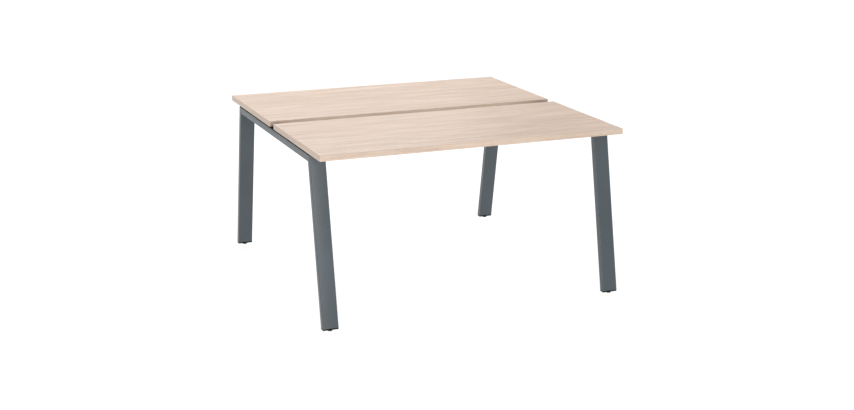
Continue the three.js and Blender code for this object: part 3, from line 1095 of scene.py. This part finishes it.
# %% [markdown]
# ## Studio: the floor
# Furniture is often photographed on a white floor that is lit until it loses its shadows. More lamps
# could do that, but they would also bleach the legs. So the floor glows a little by itself, as a light
# table does. It lies lower than the feet by their whole travel, which leaves room for them, and it is
# clear from below, so that the underside can be looked at.

# %% Lay the floor
FLOOR_SPAN = 60
FLOOR_GLOW = 0.82
FLOOR_ROOM = 0.5 * MM

joints = frame["record"]["behaviour"]["joints"]
foot_travel = max(joint["range_m"][1] for joint in joints if joint["type"] == "slide")
floor_level = cad_low.z - foot_travel - FLOOR_ROOM
clear_bench()
bpy.ops.mesh.primitive_plane_add(size=FLOOR_SPAN, location=(0, 0, floor_level))
floor = settled("studio_floor")
floor_paint, tree, shader, place = new_finish("floor_paint")
paint_tones = [(0.3, (0.29, 0.29, 0.29)), (0.7, (0.31, 0.31, 0.31))]
paint = toned(tree, noise(tree, place, (3, 3, 3), detail=3), paint_tones)
tree.links.new(paint, shader.inputs["Base Color"])
shader.inputs["Roughness"].default_value = 0.9
shader.inputs["Specular IOR Level"].default_value = 0.1
shader.inputs["Emission Color"].default_value = (1, 1, 1, 1)
shader.inputs["Emission Strength"].default_value = FLOOR_GLOW
one_way = tree.nodes.new("ShaderNodeMixShader")
clear = tree.nodes.new("ShaderNodeBsdfTransparent")
from_below = tree.nodes.new("ShaderNodeNewGeometry").outputs["Backfacing"]
tree.links.new(from_below, one_way.inputs["Fac"])
tree.links.new(shader.outputs["BSDF"], one_way.inputs[1])
tree.links.new(clear.outputs["BSDF"], one_way.inputs[2])
tree.links.new(one_way.outputs["Shader"], tree.nodes["Material Output"].inputs["Surface"])
floor.data.materials.append(floor_paint)
print("floor", mm(cad_low.z - floor_level), "mm below the feet")

# %% [markdown]
# ## Studio: the surround
# A white surround lights the desk evenly from all sides and gives the frames their pale grazing
# reflections. If it were equally bright all over, the tops would wash out, so it is brightest at the
# horizon and dims towards the zenith. The colours are shown as they are, without a film curve, so that
# white stays white.

# %% Hang the surround
HORIZON_LIGHT = 1.0
ZENITH_LIGHT = 0.66
DIMS_FROM = 0.05
DIMS_TO = 0.45

scene = bpy.context.scene
scene.view_settings.view_transform = "Standard"
surround = bpy.data.worlds.new("white_surround")
surround.use_nodes = True
sky = surround.node_tree
background = sky.nodes["Background"]
background.inputs["Color"].default_value = (1, 1, 1, 1)
direction = sky.nodes.new("ShaderNodeTexCoord").outputs["Generated"]
heading = sky.nodes.new("ShaderNodeSeparateXYZ")
sky.links.new(direction, heading.inputs["Vector"])
dimming = ranged(sky, heading.outputs["Z"], HORIZON_LIGHT, ZENITH_LIGHT, DIMS_FROM, DIMS_TO)
sky.links.new(dimming, background.inputs["Strength"])
scene.world = surround
print("surround from", HORIZON_LIGHT, "at the horizon to", ZENITH_LIGHT, "above")

# %% [markdown]
# ## Studio: the lamps
# Three soft lamps shape what the surround leaves flat. A wide one behind and one overhead, a little to
# the left, make the tops the brightest faces. A smaller one at the front left lifts the outer faces of
# the legs and the front edges. Sun or point lamps would be simpler to set, but their hard shadows would
# show on the tops, so all three are area lamps.

# %% Hang the lamps
def soft_lamp(name, place, aim, width, depth, power):
    """An area lamp at a place, turned to face its aim."""
    lamp = bpy.data.lights.new(name, "AREA")
    lamp.shape = "RECTANGLE"
    lamp.size = width
    lamp.size_y = depth
    lamp.energy = power
    holder = bpy.data.objects.new(name, lamp)
    holder.location = place
    holder.rotation_euler = (Vector(aim) - Vector(place)).to_track_quat("-Z", "Y").to_euler()
    scene.collection.objects.link(holder)
    print(name, "with", power, "W")


soft_lamp("overhead_lamp", (-0.4, 2.3, 3.8), (-0.1, 0.6, 0.7), width=2.5, depth=2.5, power=26)
soft_lamp("rear_lamp", (0, 3.0, 3.3), (0, 0.3, 0.7), width=4, depth=2.5, power=66)
soft_lamp("leg_fill", (-0.9, -3.5, 1.0), (0.4, -0.6, 0.5), width=1.4, depth=1.4, power=41)

# %% [markdown]
# ## Camera
# The desk is seen from its front left, from a little above standing height, through a longer lens that
# keeps the far legs large. A shifted lens would keep the legs upright in the picture, as product pictures
# often have them, but it would push the desk out of every other view. So the lens stays unshifted, and
# the camera is tilted down.

# %% Set the camera
CAMERA_PLACE = (-2.4080, -6.0602, 2.0855)
CAMERA_TILT = math.radians(15.266)
CAMERA_TURN = math.radians(-22.103)
CAMERA_LENS = 60.02
SENSOR_WIDTH = 36

lens = bpy.data.cameras.new("view_camera")
lens.lens = CAMERA_LENS
lens.sensor_width = SENSOR_WIDTH
camera = bpy.data.objects.new("view_camera", lens)
camera.location = CAMERA_PLACE
camera.rotation_euler = (math.pi / 2 - CAMERA_TILT, 0, CAMERA_TURN)
scene.collection.objects.link(camera)
scene.camera = camera
print("camera at", CAMERA_PLACE, "with a lens of", CAMERA_LENS, "mm")

# %% [markdown]
# The dressed desk has to stay as large as the construction. The cell below brings the scene's placements
# up to date.

# %% Update the scene
bpy.context.view_layer.update()
